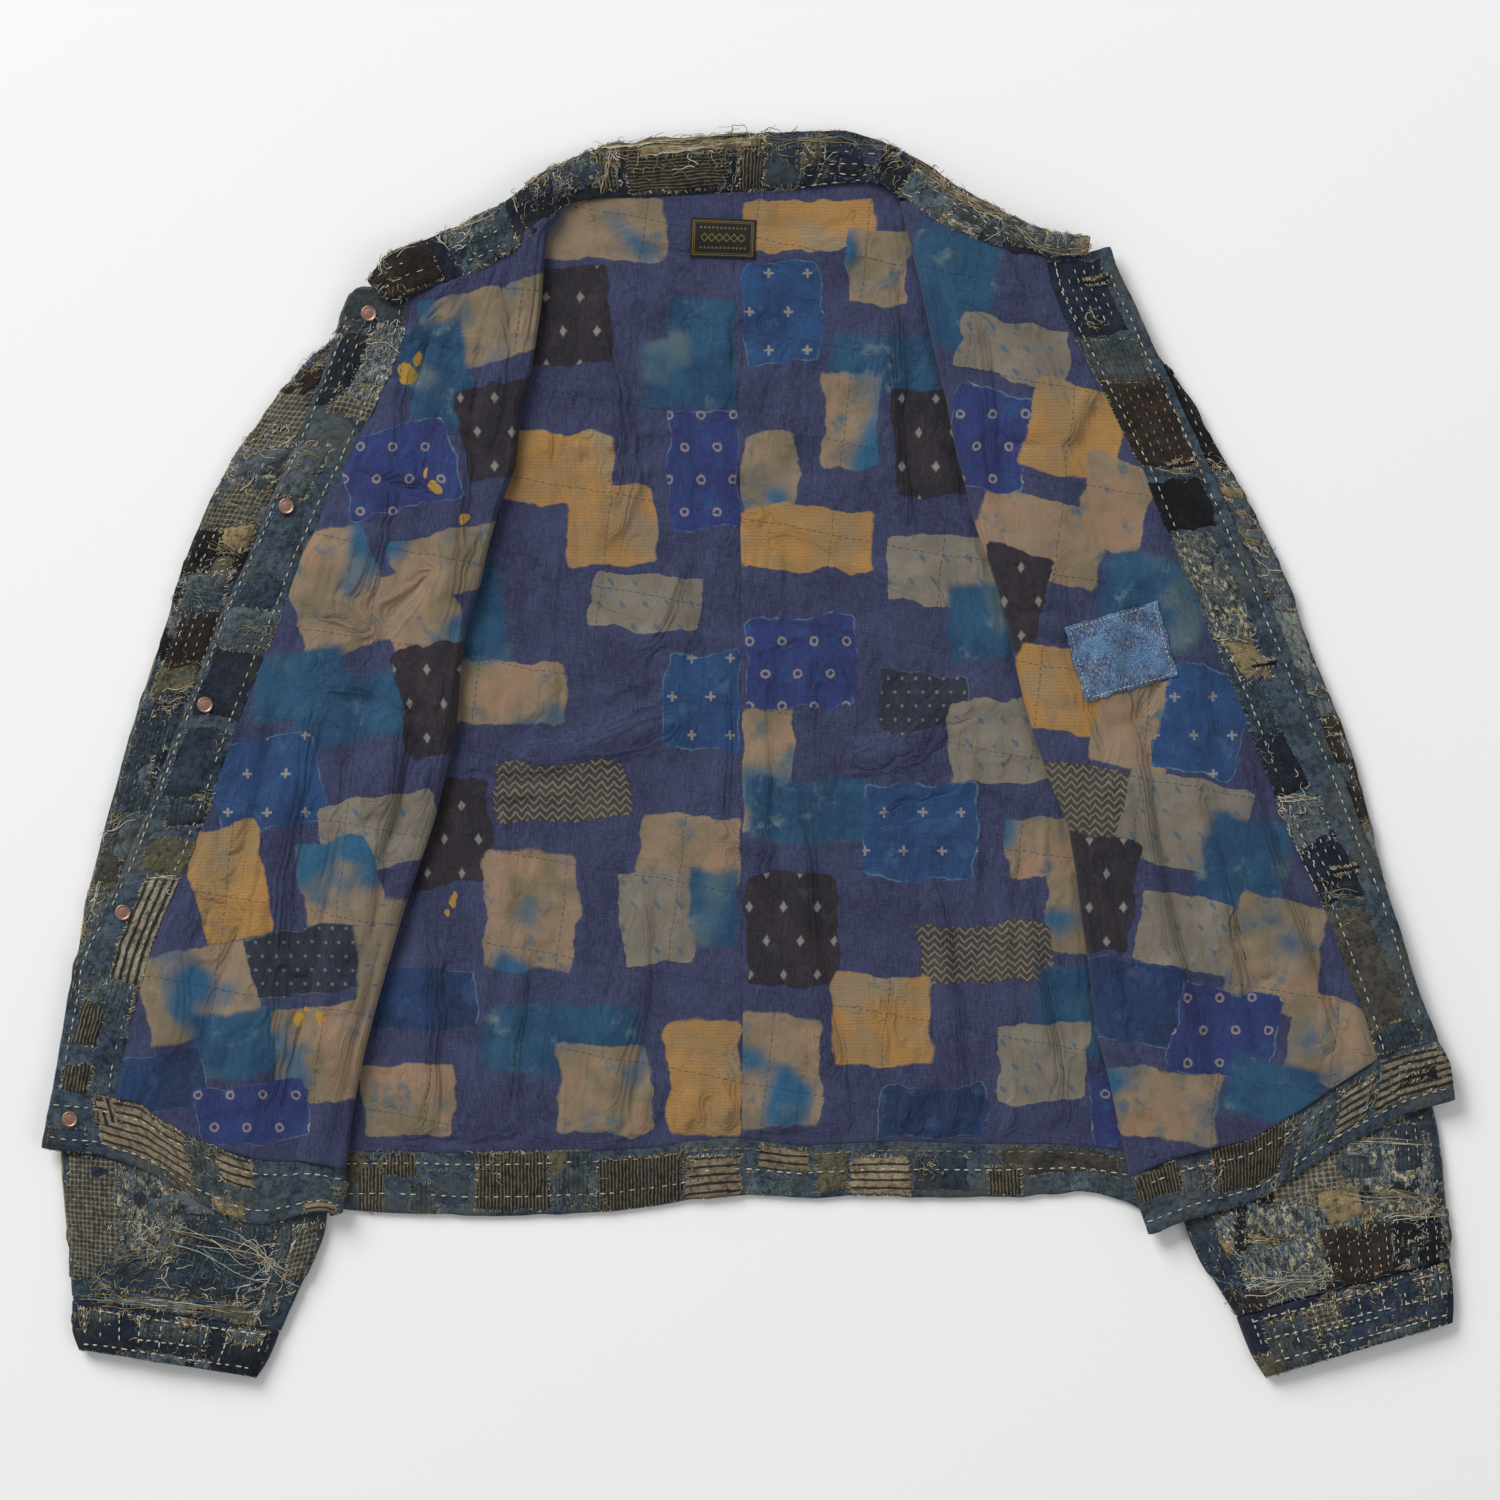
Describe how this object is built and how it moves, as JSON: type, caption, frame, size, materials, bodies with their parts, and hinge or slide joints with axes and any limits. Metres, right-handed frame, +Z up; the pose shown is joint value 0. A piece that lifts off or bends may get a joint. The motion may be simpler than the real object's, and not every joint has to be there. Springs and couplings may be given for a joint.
{
  "type": "patched boro jacket laid open, lining up",
  "caption": "Patched boro work jacket laid flat on its back with the fronts folded open, lining side up, stand collar, front bands, hem band and cuffs.",
  "frame": {"origin": "middle of the footprint, on the surface the jacket lies on", "axes": "+Z up out of the surface, +Y towards the collar, -X the wearer's right sleeve, +X the wearer's left sleeve"},
  "size_m": [0.9159, 0.8085, 0.0189],
  "materials": {
    "boro_cloth": "matt patched indigo cotton",
    "trim_denim": "matt washed denim with patches",
    "lining_cloth": "soft printed cotton",
    "stud_metal": "worn copper",
    "neck_label": "woven tape",
    "side_label": "woven tape"
  },
  "bodies": {
    "root": {"back_lining_left": "lining_cloth", "back_lining_right": "lining_cloth", "back_outer": "boro_cloth", "band_left": "trim_denim", "band_right": "trim_denim", "button_1": "stud_metal", "button_2": "stud_metal", "button_3": "stud_metal", "button_4": "stud_metal", "button_5": "stud_metal", "collar_facing": "boro_cloth", "collar_under": "boro_cloth", "cuff_left": "trim_denim", "cuff_right": "trim_denim", "front_lining_left": "lining_cloth", "front_lining_right": "lining_cloth", "front_outer_left": "boro_cloth", "front_outer_right": "boro_cloth", "hem_back": "trim_denim", "hem_front_left": "trim_denim", "hem_front_right": "trim_denim", "neck_label": "neck_label", "side_label": "side_label", "sleeve_top_left": "boro_cloth", "sleeve_top_right": "boro_cloth", "sleeve_under_left": "boro_cloth", "sleeve_under_right": "boro_cloth"}
  },
  "joints": []
}
